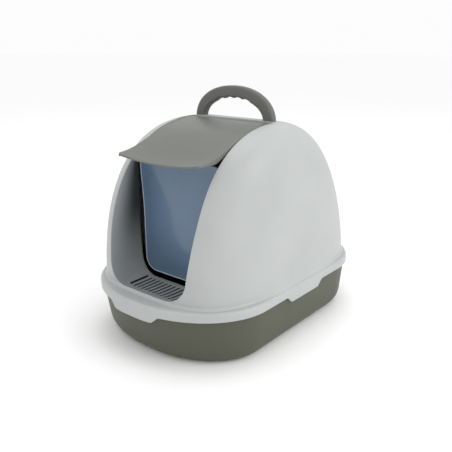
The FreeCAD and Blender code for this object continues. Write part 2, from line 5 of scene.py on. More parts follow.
import bmesh
import bpy
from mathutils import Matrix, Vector


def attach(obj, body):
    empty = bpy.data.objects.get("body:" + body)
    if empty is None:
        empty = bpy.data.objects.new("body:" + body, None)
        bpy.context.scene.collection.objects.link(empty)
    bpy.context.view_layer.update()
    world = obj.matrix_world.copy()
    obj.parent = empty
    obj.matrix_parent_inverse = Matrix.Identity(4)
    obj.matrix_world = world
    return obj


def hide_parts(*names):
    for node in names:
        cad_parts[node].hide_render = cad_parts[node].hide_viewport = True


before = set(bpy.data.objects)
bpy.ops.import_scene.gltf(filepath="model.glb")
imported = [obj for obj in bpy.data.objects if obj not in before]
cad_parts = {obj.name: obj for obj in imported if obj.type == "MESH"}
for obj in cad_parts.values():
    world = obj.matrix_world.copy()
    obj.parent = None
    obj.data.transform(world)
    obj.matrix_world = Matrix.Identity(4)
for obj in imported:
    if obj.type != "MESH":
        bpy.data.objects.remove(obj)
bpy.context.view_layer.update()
print("frame loaded")


# Small helpers shared by the pieces. Lengths are metres.

def follow(knots, at):
    # smooth line through (place, value) pairs
    places = [place for place, value in knots]
    index = min(max(bisect(places, at) - 1, 0), len(knots) - 2)

    def slope(middle):
        before = knots[max(middle - 1, 0)]
        after = knots[min(middle + 1, len(knots) - 1)]
        return (after[1] - before[1]) / (after[0] - before[0])

    (left, low), (right, high) = knots[index], knots[index + 1]
    span = right - left
    part = min(max((at - left) / span, 0.0), 1.0)
    rising = part * part * (3 - 2 * part)
    leaving = part * (1 - part) ** 2 * span * slope(index)
    arriving = part * part * (part - 1) * span * slope(index + 1)
    return low + (high - low) * rising + leaving + arriving


def ease(value, low, high):
    part = min(max((value - low) / (high - low), 0.0), 1.0)
    return part * part * (3 - 2 * part)


def spread(first, last, count):
    return [first + (last - first) * step / (count - 1) for step in range(count)]


def evenly(line, count):
    # the same line with its points an equal distance apart
    lengths = [0.0]
    for start, end in zip(line, line[1:]):
        lengths.append(lengths[-1] + (end - start).length)
    points = []
    for target in spread(0.0, lengths[-1], count):
        index = min(max(bisect(lengths, target) - 1, 0), len(line) - 2)
        step = max(lengths[index + 1] - lengths[index], 1e-9)
        points.append(line[index].lerp(line[index + 1], min((target - lengths[index]) / step, 1.0)))
    return points


def stripFaces(first, second, closed=False):
    # quads between two equal lists of vertex numbers
    count = len(first) if closed else len(first) - 1
    faces = []
    for index in range(count):
        after = (index + 1) % len(first)
        faces.append((first[index], first[after], second[after], second[index]))
    return faces


def circle(centre, radius, count):
    # (first, second) places round a centre in a plane
    places = []
    for turn in spread(0.0, 2 * math.pi, count + 1)[:-1]:
        places.append((centre[0] + radius * math.cos(turn), centre[1] + radius * math.sin(turn)))
    return places


def makeObject(name, points, faces):
    mesh = bpy.data.meshes.new(name)
    mesh.from_pydata([tuple(point) for point in points], [], faces)
    shape = bmesh.new()
    shape.from_mesh(mesh)
    bmesh.ops.remove_doubles(shape, verts=shape.verts, dist=1e-6)
    bmesh.ops.recalc_face_normals(shape, faces=shape.faces)
    shape.to_mesh(mesh)
    shape.free()
    thing = bpy.data.objects.new(name, mesh)
    bpy.context.collection.objects.link(thing)
    return thing


def loftRings(name, rings, closed=True, capped=True):
    # a skin over rings of points; capped ends make it a closed body
    points, faces, numbers = [], [], []
    for ring in rings:
        numbers.append(list(range(len(points), len(points) + len(ring))))
        points += ring
    for lower, upper in zip(numbers, numbers[1:]):
        faces += stripFaces(lower, upper, closed)
    if capped:
        faces += [tuple(reversed(numbers[0])), tuple(numbers[-1])]
    return makeObject(name, points, faces)


def addWall(thing, thickness):
    # grows inwards from the skin
    solid = thing.modifiers.new("wall", "SOLIDIFY")
    solid.thickness = thickness
    solid.offset = -1.0
    solid.use_even_offset = False


def addBevel(thing, width, segments=2, angle=40):
    bevel = thing.modifiers.new("edges", "BEVEL")
    bevel.width = width
    bevel.segments = segments
    bevel.limit_method = "ANGLE"
    bevel.angle_limit = math.radians(angle)
    bevel.use_clamp_overlap = True


def settle(thing, smoothAngle=35):
    # modifiers become plain mesh, shaded smooth except at real edges
    graph = bpy.context.evaluated_depsgraph_get()
    mesh = bpy.data.meshes.new_from_object(thing.evaluated_get(graph))
    thing.modifiers.clear()
    thing.data = mesh
    mesh.shade_smooth()
    mesh.set_sharp_from_angle(angle=math.radians(smoothAngle))
    return thing


def joined(name, things):
    # several bodies of one moulded part in one object
    shape = bmesh.new()
    for thing in things:
        shape.from_mesh(thing.data)
    mesh = bpy.data.meshes.new(name)
    for material in things[0].data.materials:
        mesh.materials.append(material)
    shape.to_mesh(mesh)
    shape.free()
    for thing in things:
        bpy.data.objects.remove(thing)
    whole = bpy.data.objects.new(name, mesh)
    bpy.context.collection.objects.link(whole)
    return whole


def place(thing, body, node, slotName, material=None):
    if material:
        thing.data.materials.clear()
        thing.data.materials.append(material)
    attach(thing, body)
    if node:
        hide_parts(node)
    print("placed", thing.name, len(thing.data.polygons), "faces")


def linear(colour):
    # 0..255 screen values to the linear values a shader takes
    values = []
    for value in colour:
        part = value / 255
        values.append(part / 12.92 if part <= 0.04045 else ((part + 0.055) / 1.055) ** 2.4)
    return (*values, 1.0)


# Materials. Every plastic has a fine moulded grain, slow colour drift and uneven gloss.

moulding = {"driftScale": 9, "glossScale": 26, "glossSpread": 0.05, "grainScale": 900, "grainDepth": 0.0003}


def plastic(name, colour, roughness, grain=0.12, drift=0.04, coat=0.0):
    material = bpy.data.materials.new(name)
    material.use_nodes = True
    tree = material.node_tree
    shader = tree.nodes["Principled BSDF"]
    spot = tree.nodes.new("ShaderNodeTexCoord").outputs["Object"]

    def noise(scale, detail):
        node = tree.nodes.new("ShaderNodeTexNoise")
        node.inputs["Scale"].default_value = scale
        node.inputs["Detail"].default_value = detail
        tree.links.new(spot, node.inputs["Vector"])
        return node.outputs["Fac"]

    tint = tree.nodes.new("ShaderNodeValToRGB")
    base = linear(colour)
    tint.color_ramp.elements[0].position = 0.3
    tint.color_ramp.elements[1].position = 0.7
    tint.color_ramp.elements[0].color = (*[part * (1 - drift) for part in base[:3]], 1)
    tint.color_ramp.elements[1].color = (*[min(part * (1 + drift), 1) for part in base[:3]], 1)
    tree.links.new(noise(moulding["driftScale"], 3), tint.inputs["Fac"])
    tree.links.new(tint.outputs["Color"], shader.inputs["Base Color"])

    gloss = tree.nodes.new("ShaderNodeMapRange")
    gloss.inputs["To Min"].default_value = roughness - moulding["glossSpread"]
    gloss.inputs["To Max"].default_value = roughness + moulding["glossSpread"]
    tree.links.new(noise(moulding["glossScale"], 4), gloss.inputs["Value"])
    tree.links.new(gloss.outputs["Result"], shader.inputs["Roughness"])

    bump = tree.nodes.new("ShaderNodeBump")
    bump.inputs["Strength"].default_value = grain
    bump.inputs["Distance"].default_value = moulding["grainDepth"]
    tree.links.new(noise(moulding["grainScale"], 2), bump.inputs["Height"])
    tree.links.new(bump.outputs["Normal"], shader.inputs["Normal"])
    shader.inputs["Coat Weight"].default_value = coat
    shader.inputs["IOR"].default_value = 1.45
    return material


def turnedSteel(name):
    material = plastic(name, (176, 178, 180), 0.32, grain=0.05, drift=0.08)
    material.node_tree.nodes["Principled BSDF"].inputs["Metallic"].default_value = 1.0
    return material


def paintShadeTowards(material, colour, attribute):
    # paints shade: blends the base colour to a darker one by a value stored on the mesh
    tree = material.node_tree
    shader = tree.nodes["Principled BSDF"]
    plain = shader.inputs["Base Color"].links[0].from_socket
    value = tree.nodes.new("ShaderNodeAttribute")
    value.attribute_name = attribute
    mix = tree.nodes.new("ShaderNodeMix")
    mix.data_type = "RGBA"
    tree.links.new(value.outputs["Fac"], mix.inputs["Factor"])
    colours = [socket for socket in mix.inputs if socket.type == "RGBA"]
    tree.links.new(plain, colours[0])
    colours[1].default_value = linear(colour)
    result = [socket for socket in mix.outputs if socket.type == "RGBA"][0]
    tree.links.new(result, shader.inputs["Base Color"])


hoodPlastic = plastic("hoodPlastic", (174, 177, 176), 0.44)
# painted shade: the hood's plastic turns towards (50, 53, 52) inside the entrance, by the stored painted
# shade value
paintShadeTowards(hoodPlastic, (50, 53, 52), "paintedShade")
# painted shade: the slot walls and other cut edges of the hood are coloured dark (84, 86, 84) to stand in
# for shadow in the drain slots
slotShadePlastic = plastic("slotShadePlastic", (84, 86, 84), 0.5)
trayPlastic = plastic("trayPlastic", (76, 78, 64), 0.5, grain=0.2)
lidPlastic = plastic("lidPlastic", (105, 107, 102), 0.42)
handlePlastic = plastic("handlePlastic", (97, 98, 93), 0.5, grain=0.2)
pinPlastic = plastic("pinPlastic", (122, 123, 118), 0.45)
doorPlastic = plastic("doorPlastic", (93, 116, 141), 0.22, grain=0.03, drift=0.06, coat=0.3)
doorEdgePlastic = plastic("doorEdgePlastic", (190, 202, 214), 0.3, grain=0.03)
axleSteel = turnedSteel("axleSteel")
print("materials made")


# Box outline: straight sides joined by elliptical corners.

box = {"cornerMiddle": (0.010, 0.132), "cornerReach": (0.180, 0.148), "cornerSteps": 44, "sideSteps": 66}


def outlineStations():
    # (centre x, centre y, angle) round the box, starting at the front end of the right side
    middleX, middleY = box["cornerMiddle"]
    steps = box["cornerSteps"]
    stations = []
    for y in spread(-middleY, middleY, box["sideSteps"] + 1)[:-1]:
        stations.append((middleX, y, 0.0))
    for index in range(steps):
        stations.append((middleX, middleY, math.pi / 2 * index / steps))
    for x in spread(middleX, -middleX, 5)[:-1]:
        stations.append((x, middleY, math.pi / 2))
    for index in range(steps):
        stations.append((-middleX, middleY, math.pi / 2 * (1 + index / steps)))
    return stations + [(-x, -y, angle + math.pi) for x, y, angle in stations]


def outlinePoint(station, sideInset, endInset, z):
    x, y, angle = station
    reachX, reachY = box["cornerReach"]
    x += (reachX - sideInset) * math.cos(angle)
    y += (reachY - endInset) * math.sin(angle)
    return Vector((x, y, z))


stations = outlineStations()


# Tray

tray = {
    "rimHeight": 0.108, "rimInset": 0.0037, "wall": 0.003, "floor": 0.0035,
    "sideDraft": 0.008, "endDraft": 0.022, "roundHeight": 0.032, "roundDepth": 0.024,
}


def trayRing(z, inside):
    low = (tray["rimHeight"] - z) / tray["rimHeight"]
    below = max(tray["roundHeight"] - z, 0.0) / tray["roundHeight"]
    tuck = tray["roundDepth"] * (1 - math.sqrt(max(1 - below * below, 0.0)))
    side = tray["rimInset"] + tray["sideDraft"] * low + tuck + inside
    end = tray["rimInset"] + tray["endDraft"] * low + tuck + inside
    return side, end


def buildTray():
    heights = [tray["roundHeight"] * (1 - math.cos(turn)) for turn in spread(0.0, math.pi / 2, 12)]
    heights += spread(tray["roundHeight"], tray["rimHeight"], 12)[1:]
    rings = []
    for z in heights:
        side, end = trayRing(z, 0.0)
        rings.append([outlinePoint(station, side, end, z) for station in stations])
    for z in reversed(heights):
        side, end = trayRing(z, tray["wall"])
        lifted = z + tray["floor"] * (1 - z / tray["rimHeight"])
        rings.append([outlinePoint(station, side, end, lifted) for station in stations])
    pan = loftRings("trayPan", rings)
    addBevel(pan, 0.0011, 3, 50)
    return settle(pan)


place(buildTray(), "tray", "tray", "tray_plastic", trayPlastic)


# Dome of the hood: each level is a rounded rectangle whose reach shrinks to the crown.

dome = {
    "base": 0.1084, "height": 0.299, "side": 0.1862, "front": 0.262, "rear": 0.238,
    "sideCurve": (1.51, 8.2), "frontCurve": (2.3, 2.53), "rearCurve": (1.42, 1.84),
    "squareness": (3.5, 1.26, 1.7), "middle": (0.011, 0.0065), "crown": 0.9996, "columns": 132,
    "footFlare": 0.0045, "footHeights": (0.1114, 0.1165),
    "footLevels": [0.1092, 0.1108, 0.1118, 0.1130, 0.1142, 0.1155],
}
mouth = {
    "bottom": 0.117, "corner": 0.042, "floorHalf": 0.0555, "slotEnd": 0.0016,
    "halfWidths": [(0.159, 0.0975), (0.212, 0.1025), (0.267, 0.1055), (0.377, 0.1045), (0.408, 0.1045)],
}


Reach = namedtuple("Reach", "side front rear square middle")


def domeReach(rise):
    def shrink(curve):
        return (1 - rise ** curve[0]) ** (1 / curve[1])

    start, gain, bend = dome["squareness"]
    square = start + gain * rise ** bend
    middle = dome["middle"][0] + dome["middle"][1] * rise
    side = dome["side"] * shrink(dome["sideCurve"])
    front = dome["front"] * shrink(dome["frontCurve"])
    rear = dome["rear"] * shrink(dome["rearCurve"])
    return Reach(side, front, rear, square, middle)


def domePoint(rise, turn):
    # turn runs from -90 degrees at the front, through 0 on the right, to 90 at the rear
    reach = domeReach(rise)
    across, along = math.cos(turn), math.sin(turn)
    length = reach.rear if along > 0 else reach.front
    x = math.copysign(reach.side * abs(across) ** (2 / reach.square), across)
    y = math.copysign(length * abs(along) ** (2 / reach.square), along)
    z = dome["base"] + dome["height"] * rise
    # a soft foot where the dome meets the flange
    flare = dome["footFlare"] * (1 - ease(z, *dome["footHeights"])) * abs(along) ** 0.5
    growth = 1 + flare / math.hypot(x, y)
    return Vector((x * growth, reach.middle + y * growth, z))


def mouthHalf(z):
    corner, bottom = mouth["corner"], mouth["bottom"]
    if z <= bottom:
        return mouth["floorHalf"]
    if z < bottom + corner:
        return mouth["floorHalf"] + math.sqrt(max(corner ** 2 - (bottom + corner - z) ** 2, 0.0))
    return follow(mouth["halfWidths"], z)


def edgeTurn(rise):
    # where a level meets the mouth's edge or the rear end of the lid's slot
    reach = domeReach(rise)
    half = mouthHalf(dome["base"] + dome["height"] * rise)
    slotDepth = max(reach.middle - mouth["slotEnd"], 0.0)
    atSide = -math.acos(min((half / reach.side) ** (reach.square / 2), 1.0))
    atSlot = -math.asin(min((slotDepth / reach.front) ** (reach.square / 2), 1.0))
    return (atSide, "side") if atSide <= atSlot else (atSlot, "slot")


def slotCornerRise():
    # the level where the mouth's edge turns into the rear end of the lid's slot
    low, high = 0.9, 0.9999
    for step in range(40):
        middle = (low + high) / 2
        if edgeTurn(middle)[1] == "side":
            low = middle
        else:
            high = middle
    return low


def domeRises():
    # levels crowd at the foot, round the mouth's corners and near the crown
    corner, bottom = mouth["corner"], mouth["bottom"]
    heights = dome["footLevels"] + [bottom]
    heights += [bottom + corner * (1 - math.cos(turn)) for turn in spread(0.0, math.pi / 2, 12)[1:]]
    heights += spread(bottom + corner, throat["ceiling"], 26)[1:]
    rises = [(z - dome["base"]) / dome["height"] for z in heights]
    left = 1 - rises[-1]
    rises += [1 - left * (1 - step / 40) ** 2.2 for step in range(1, 39)]
    rises = [rise for rise in rises if rise < dome["crown"]]
    return sorted(rises + [slotCornerRise(), dome["crown"]])


# Throat: the passage from the mouth's edge back to the door, and the lip round the lid's slot.

throat = {
    "rear": -0.154, "rearCorner": 0.035, "ceiling": 0.357, "floorSpread": 0.50,
    "floorLine": [(0.0, 0.117), (0.10, 0.1115), (0.34, 0.1022), (0.55, 0.1003), (1.0, 0.1000)],
    # the last keys on the next line set the painted shade inside the entrance: its depth ramp, its share on
    # the floor and the heights where it grows
    "spreadEnd": 0.45, "paintedShadeDepths": (-0.04, 0.85), "paintedShadeFloor": 0.15, "paintedShadeHeights": (0.10, 0.26),
    "rearHalfWidths": [
        (0.098, 0.1015), (0.140, 0.1020), (0.185, 0.1060),
        (0.235, 0.1068), (0.280, 0.1045), (0.340, 0.1045),
    ],
    "lipRadius": 0.0028, "steps": 24, "slots": 15, "slotShare": 0.42, "slotPart": (0.36, 0.90),
    "ledgeDrop": 0.0078, "ledgeWidth": 0.0035, "ledgeStart": (0.338, 0.366), "wall": 0.0024,
    # the next line bounds the region that gets painted shade
    "paintedShadeHalf": 0.1075, "paintedShadeTop": 0.358, "paintedShadeRear": -0.12,
}


def throatPoint(lip, kind, value, part):
    # part runs from 0 at the lip to 1 at the rear edge
    sign = math.copysign(1.0, lip.x)
    wide = 1 - (1 - part) ** 2
    corner = mouth["corner"] + (throat["rearCorner"] - mouth["corner"]) * part
    floorZ = follow(throat["floorLine"], part)
    rear = max(throat["rear"], lip.y + 0.005)
    y = lip.y + (rear - lip.y) * part
    lipHalf = mouthHalf(max(lip.z, mouth["bottom"] + mouth["corner"]))
    half = lipHalf + (follow(throat["rearHalfWidths"], lip.z) - lipHalf) * wide
    # the floor's edges climb a little way up the round corners, more so further back
    climb = throat["floorSpread"] * ease(part, 0.0, throat["spreadEnd"])
    if kind == "floor":
        x = value * (half - corner + corner * math.sin(climb))
        beyond = max(abs(x) - (half - corner), 0.0)
        return Vector((x, y, floorZ + corner - math.sqrt(corner ** 2 - beyond ** 2)))
    if kind == "corner":
        turn = climb + (math.pi / 2 - climb) * value / (math.pi / 2)
        x = half - corner + corner * math.sin(turn)
        return Vector((sign * x, y, floorZ + corner * (1 - math.cos(turn))))
    top = throat["ceiling"]
    share = max(top - lip.z, 0.0) / (top - mouth["bottom"] - mouth["corner"])
    sink = (mouth["bottom"] + mouth["corner"] - floorZ - corner) * share
    return Vector((sign * half, y, lip.z - sink))


def ledgePoint(lip, kind, part):
    down = throat["ledgeDrop"] * min(part / 0.6, 1.0)
    inward = throat["ledgeWidth"] * max((part - 0.6) / 0.4, 0.0)
    if kind == "slot":
        return lip + Vector((0, -inward * 0.2, -down))
    return lip + Vector((-math.copysign(inward, lip.x), 0, -down))


def throatPath(lip, kind, value):
    points = []
    for part in spread(0.0, 1.0, throat["steps"] + 1)[1:]:
        ledge = ledgePoint(lip, kind, part)
        if kind == "slot":
            points.append(ledge)
            continue
        passage = throatPoint(lip, kind, value, part)
        points.append(passage.lerp(ledge, ease(lip.z, *throat["ledgeStart"])))
    return points


def throatPaintedShade(point):
    # painted shade by how deep a point lies in the entrance: 0 at the lip, 1 at the door, and darker higher
    # up under the lid
    inside = abs(point.x) <= throat["paintedShadeHalf"] and point.z <= throat["paintedShadeTop"]
    if not inside or point.y > throat["paintedShadeRear"]:
        return 0.0
    level = max(point.z, mouth["bottom"])
    rise = (level - dome["base"]) / dome["height"]
    line = domePoint(rise, edgeTurn(rise)[0])
    depth = (point.y - line.y) / max(throat["rear"] - line.y, 0.010)
    low = throat["paintedShadeFloor"]
    return ease(depth, *throat["paintedShadeDepths"]) * (low + (1 - low) * ease(point.z, *throat["paintedShadeHeights"]))


def roundLip(lip, outside, inside):
    # points of a small round between the dome's skin and the throat
    radius = min(throat["lipRadius"], 0.45 * (outside - lip).length, 0.45 * (inside - lip).length)
    start = lip + (outside - lip).normalized() * radius
    end = lip + (inside - lip).normalized() * radius
    curve = []
    for part in spread(0.0, 1.0, 6):
        curve.append(start * (1 - part) ** 2 + lip * 2 * part * (1 - part) + end * part ** 2)
    return curve


def floorShares():
    # places across the throat's floor: both edges of every slot and the middle of every rib
    pitch = 2.0 / throat["slots"]
    shares = []
    for index in range(throat["slots"]):
        middle = 1.0 - pitch * (index + 0.5)
        half = pitch * throat["slotShare"] / 2
        shares += [middle + pitch / 2, middle + half, middle - half]
    return shares + [-1.0]


def levelLine(rise, count):
    start = edgeTurn(rise)[0]
    return evenly([domePoint(rise, turn) for turn in spread(start, math.pi - start, 360)], count)


def frontLine(rise, shares):
    # points across the dome's front below the mouth, one for each share of its floor
    reach = domeReach(rise)
    line = []
    for share in shares:
        turn = -math.acos((abs(share) * mouth["floorHalf"] / reach.side) ** (reach.square / 2))
        point = domePoint(rise, turn)
        line.append(Vector((math.copysign(point.x, share), point.y, point.z)))
    return line


def lipKind(lip, rise):
    # which part of the throat starts here, and how far round its bottom corner
    kind = edgeTurn(rise)[1]
    cornerTop = mouth["bottom"] + mouth["corner"]
    if kind == "side" and lip.z < cornerTop - 1e-6:
        return "corner", math.acos((cornerTop - lip.z) / mouth["corner"])
    return kind, 0.0


def lipSpots(rises, levels, floorLine, mouthLevel):
    # (line, point in it, neighbour in it, rise) down the right side, across the floor and up the left
    spots = []
    for index in range(len(rises) - 1, mouthLevel, -1):
        spots.append((levels[index], 0, 1, rises[index]))
    for index in range(len(floorLine)):
        spots.append((floorLine, index, None, rises[mouthLevel]))
    for index in range(mouthLevel + 1, len(rises)):
        spots.append((levels[index], -1, -2, rises[index]))
    return spots


def throatPaths(spots, shares, below):
    # rounds the lip at every spot and runs a path from there into the throat
    paths, starts = [], []
    for line, index, neighbour, rise in spots:
        lip = line[index]
        if neighbour is None:
            kind, value, outside = "floor", shares[index], below[index]
        else:
            kind, value = lipKind(lip, rise)
            outside = line[neighbour]
        path = throatPath(lip, kind, value)
        curve = roundLip(lip, outside, path[0])
        starts.append(curve[0])
        paths.append(curve[1:] + path)
    for (line, index, neighbour, rise), start in zip(spots, starts):
        line[index] = start
    return paths


def isDrainSlot(step, column, roundSteps):
    # columns repeat in threes across the floor: half a rib, a slot, half a rib
    first = roundSteps + int(throat["steps"] * throat["slotPart"][0])
    last = roundSteps + int(throat["steps"] * throat["slotPart"][1])
    return 0 <= column < 3 * throat["slots"] and column % 3 == 1 and first <= step < last


def buildHoodSkin():
    rises = domeRises()
    shares = floorShares()
    columns = dome["columns"]
    levels = [levelLine(rise, columns) for rise in rises]
    mouthRise = (mouth["bottom"] - dome["base"]) / dome["height"]
    mouthLevel = min(index for index, rise in enumerate(rises) if rise > mouthRise - 1e-5)
    fronts = [frontLine(rise, shares) for rise in rises[: mouthLevel + 1]]
    spots = lipSpots(rises, levels, fronts[mouthLevel], mouthLevel)
    paths = throatPaths(spots, shares, fronts[mouthLevel - 1])
    levels[mouthLevel][0] = fronts[mouthLevel][0]
    levels[mouthLevel][-1] = fronts[mouthLevel][-1]

    points, faces = [], []

    def add(line):
        numbers = list(range(len(points), len(points) + len(line)))
        points.extend(line)
        return numbers

    levelNumbers = [add(line) for line in levels]
    for lower, upper in zip(levelNumbers, levelNumbers[1:]):
        faces += stripFaces(lower, upper)
    frontNumbers = [add(line) for line in fronts]
    for lower, upper in zip(frontNumbers, frontNumbers[1:]):
        faces += stripFaces(upper, lower)
    crown = levelNumbers[-1]
    for index in range(columns // 2 - 1):
        other = columns - 1 - index
        faces.append((crown[index], crown[index + 1], crown[other - 1], crown[other]))

    starts = [numbers[0] for numbers in reversed(levelNumbers[mouthLevel + 1:])]
    starts += frontNumbers[mouthLevel]
    starts += [numbers[-1] for numbers in levelNumbers[mouthLevel + 1:]]
    rings = [starts]
    for step in range(len(paths[0])):
        rings.append(add([path[step] for path in paths]))
    firstFloor = len(rises) - 1 - mouthLevel
    roundSteps = len(paths[0]) - throat["steps"]
    for step, (outer, inner) in enumerate(zip(rings, rings[1:])):
        for index, face in enumerate(stripFaces(outer, inner, True)):
            if not isDrainSlot(step, index - firstFloor, roundSteps):
                faces.append(face)
    skin = makeObject("hoodSkin", points, faces)
    skin.data.materials.append(hoodPlastic)
    skin.data.materials.append(slotShadePlastic)
    # each point stores how dark the entrance is painted there: painted shade
    paintedShade = skin.data.attributes.new("paintedShade", "FLOAT", "POINT")
    for index, vertex in enumerate(skin.data.vertices):
        paintedShade.data[index].value = throatPaintedShade(vertex.co)
    addWall(skin, throat["wall"])
    # the rim faces, slot walls among them, get the dark painted shade material
    skin.modifiers["wall"].material_offset_rim = 1   # slot walls take the second material
    return settle(skin, 50)


# Flange and skirt round the foot of the dome, with four grip tabs.

flange = {
    "skirtBottom": 0.0945, "top": 0.1114, "under": 0.1084, "edgeRadius": 0.006, "wall": 0.003,
    "tabDrop": 0.013, "tabHalf": 0.045, "tabFade": 0.019, "sideStart": 0.15, "endStart": 0.2,
    "tuck": 0.0015, "edgeBevel": 0.0009,
}


def tabDrop(point):
    # how far the skirt hangs lower here: one tab at the middle of each side and each end
    onSide = abs(point.x) > flange["sideStart"]
    if not onSide and abs(point.y) < flange["endStart"]:
        return 0.0
    along = abs(point.y) if onSide else abs(point.x)
    return flange["tabDrop"] * (1 - ease(along, flange["tabHalf"], flange["tabHalf"] + flange["tabFade"]))


def domeFoot(direction, inset):
    # the dome's foot seen from its middle in the given direction
    reach = domeReach(0.008)
    angle = math.atan2(direction.y - reach.middle, direction.x)
    length = reach.rear if math.sin(angle) > 0 else reach.front
    across = abs(math.cos(angle) / reach.side) ** reach.square
    along = abs(math.sin(angle) / length) ** reach.square
    radius = (across + along) ** (-1 / reach.square) - inset
    return Vector((radius * math.cos(angle), reach.middle + radius * math.sin(angle), 0))


def buildFlange():
    radius, top, under, wall = flange["edgeRadius"], flange["top"], flange["under"], flange["wall"]
    columns = []
    for station in stations:
        outer = outlinePoint(station, 0, 0, 0)
        bottom = flange["skirtBottom"] - tabDrop(outer)
        halfway = (bottom + top - radius) / 2
        foot = domeFoot(outer, flange["tuck"])
        column = [outlinePoint(station, 0, 0, bottom), outlinePoint(station, 0, 0, halfway)]
        for turn in spread(0.0, math.pi / 2, 6):
            inset = radius * (1 - math.cos(turn))
            column.append(outlinePoint(station, inset, inset, top - radius + radius * math.sin(turn)))
        column.append(Vector((foot.x, foot.y, top)))
        column.append(Vector((foot.x, foot.y, under)))
        for inset, z in ((wall * 1.6, under), (wall, under - 0.0016), (wall, halfway), (wall, bottom)):
            column.append(outlinePoint(station, inset, inset, z))
        columns.append(column)
    rings = [list(ring) for ring in zip(*columns)]
    rings.append(rings[0])
    band = loftRings("flangeBand", rings, capped=False)
    addBevel(band, flange["edgeBevel"], 3, 50)
    return settle(band)


seat = {
    "places": ((-0.086, 0.013), (0.086, 0.013)),
    "profile": [(1e-5, 0.3985), (0.0050, 0.3985), (0.0072, 0.3995), (0.0078, 0.4045), (1e-5, 0.4045)],
}


def buildScrewSeats():
    seats = []
    for spot in seat["places"]:
        rings = []
        for radius, z in seat["profile"]:
            rings.append([Vector((x, y, z)) for x, y in circle(spot, radius, 24)])
        seats.append(settle(loftRings("screwSeat", rings)))
    return seats


hoodShell = joined("hoodShell", [buildHoodSkin(), buildFlange()] + buildScrewSeats())
place(hoodShell, "hood", "hood", "hood_plastic")


# Geometry Nodes: helpers, then the ribs of the drain floor and the carry handle.

def newTree(name, inputs):
    tree = bpy.data.node_groups.new(name, "GeometryNodeTree")
    tree.interface.new_socket("Geometry", in_out="INPUT", socket_type="NodeSocketGeometry")
    for label, value in inputs.items():
        kind = "NodeSocketInt" if isinstance(value, int) else "NodeSocketFloat"
        tree.interface.new_socket(label, in_out="INPUT", socket_type=kind).default_value = value
    tree.interface.new_socket("Material", in_out="INPUT", socket_type="NodeSocketMaterial")
    tree.interface.new_socket("Geometry", in_out="OUTPUT", socket_type="NodeSocketGeometry")
    return tree, tree.nodes.new("NodeGroupInput"), tree.nodes.new("NodeGroupOutput")


def plug(tree, socket, value):
    if isinstance(value, bpy.types.NodeSocket):
        tree.links.new(value, socket)
    else:
        socket.default_value = value


def addNode(tree, kind, settings=None, **inputs):
    node = tree.nodes.new(kind)
    for name, value in (settings or {}).items():
        setattr(node, name, value)
    for name, value in inputs.items():
        plug(tree, node.inputs[name.replace("_", " ")], value)
    return node


def calc(tree, operation, *values):
    node = tree.nodes.new("ShaderNodeMath")
    node.operation = operation
    for socket, value in zip(node.inputs, values):
        plug(tree, socket, value)
    return node.outputs[0]


def runTree(thing, tree, inputs, material):
    modifier = thing.modifiers.new(tree.name, "NODES")
    modifier.node_group = tree
    for item in tree.interface.items_tree:
        if item.in_out == "INPUT" and item.name in inputs:
            modifier[item.identifier] = inputs[item.name]
        if item.in_out == "INPUT" and item.name == "Material":
            modifier[item.identifier] = material
    return settle(thing)


def finishTree(tree, group, output, geometry):
    realized = addNode(tree, "GeometryNodeRealizeInstances", Geometry=geometry)
    painted = addNode(
        tree, "GeometryNodeSetMaterial",
        Geometry=realized.outputs[0], Material=group.outputs["Material"],
    )
    tree.links.new(painted.outputs[0], output.inputs["Geometry"])


ribs = {"Rib Radius": 0.0019, "Rib Rise": -0.0010, "Fade": 0.6, "Sides": 10}


def ribLines():
    # one guide line down the middle of every rib between two slots
    reach = domeReach((mouth["bottom"] - dome["base"]) / dome["height"])
    lipY = reach.middle - reach.front * 0.985   # just behind the dome's front
    points, edges = [], []
    first, last = throat["slotPart"]
    for index in range(1, throat["slots"]):
        share = 1.0 - 2.0 * index / throat["slots"]
        lip = Vector((share * mouth["floorHalf"], lipY, mouth["bottom"]))
        for step, part in enumerate(spread(first - 0.03, last + 0.03, 14)):
            if step:
                edges.append((len(points) - 1, len(points)))
            points.append(throatPoint(lip, "floor", share, part))
    return points, edges


def ribTree():
    tree, group, output = newTree("drainRibs", ribs)
    curve = addNode(tree, "GeometryNodeMeshToCurve", Mesh=group.outputs["Geometry"])
    along = tree.nodes.new("GeometryNodeSplineParameter").outputs["Factor"]
    wave = calc(tree, "SINE", calc(tree, "MULTIPLY", along, math.pi))
    swell = calc(tree, "POWER", wave, group.outputs["Fade"])
    radius = calc(tree, "MAXIMUM", swell, 0.08)
    shaped = addNode(tree, "GeometryNodeSetCurveRadius", Curve=curve.outputs[0], Radius=radius)
    ring = addNode(
        tree, "GeometryNodeCurvePrimitiveCircle", {"mode": "RADIUS"},
        Resolution=group.outputs["Sides"], Radius=group.outputs["Rib Radius"],
    )
    bars = addNode(
        tree, "GeometryNodeCurveToMesh",
        Curve=shaped.outputs[0], Profile_Curve=ring.outputs[0], Fill_Caps=True,
    )
    lift = addNode(tree, "ShaderNodeCombineXYZ", Z=group.outputs["Rib Rise"])
    raised = addNode(tree, "GeometryNodeSetPosition", Geometry=bars.outputs[0], Offset=lift.outputs[0])
    finishTree(tree, group, output, raised.outputs[0])
    return tree


ribPoints, ribEdges = ribLines()
ribMesh = bpy.data.meshes.new("drainRibs")
ribMesh.from_pydata([tuple(point) for point in ribPoints], ribEdges, [])
drainRibs = bpy.data.objects.new("drainRibs", ribMesh)
bpy.context.collection.objects.link(drainRibs)
runTree(drainRibs, ribTree(), ribs, hoodPlastic)
place(drainRibs, "hood", None, "hood_plastic")


handle = {
    "Half Span": 0.086, "Foot Height": 0.4036, "Rise": 0.0536, "Roundness": 2.12, "Middle": 0.013,
    "Bar Width": 0.0245, "Bar Depth": 0.016, "Corner": 0.0055,
    "Grip Pitch": 0.022, "Grip Depth": 0.0024, "Grip Reach": 0.044,
}


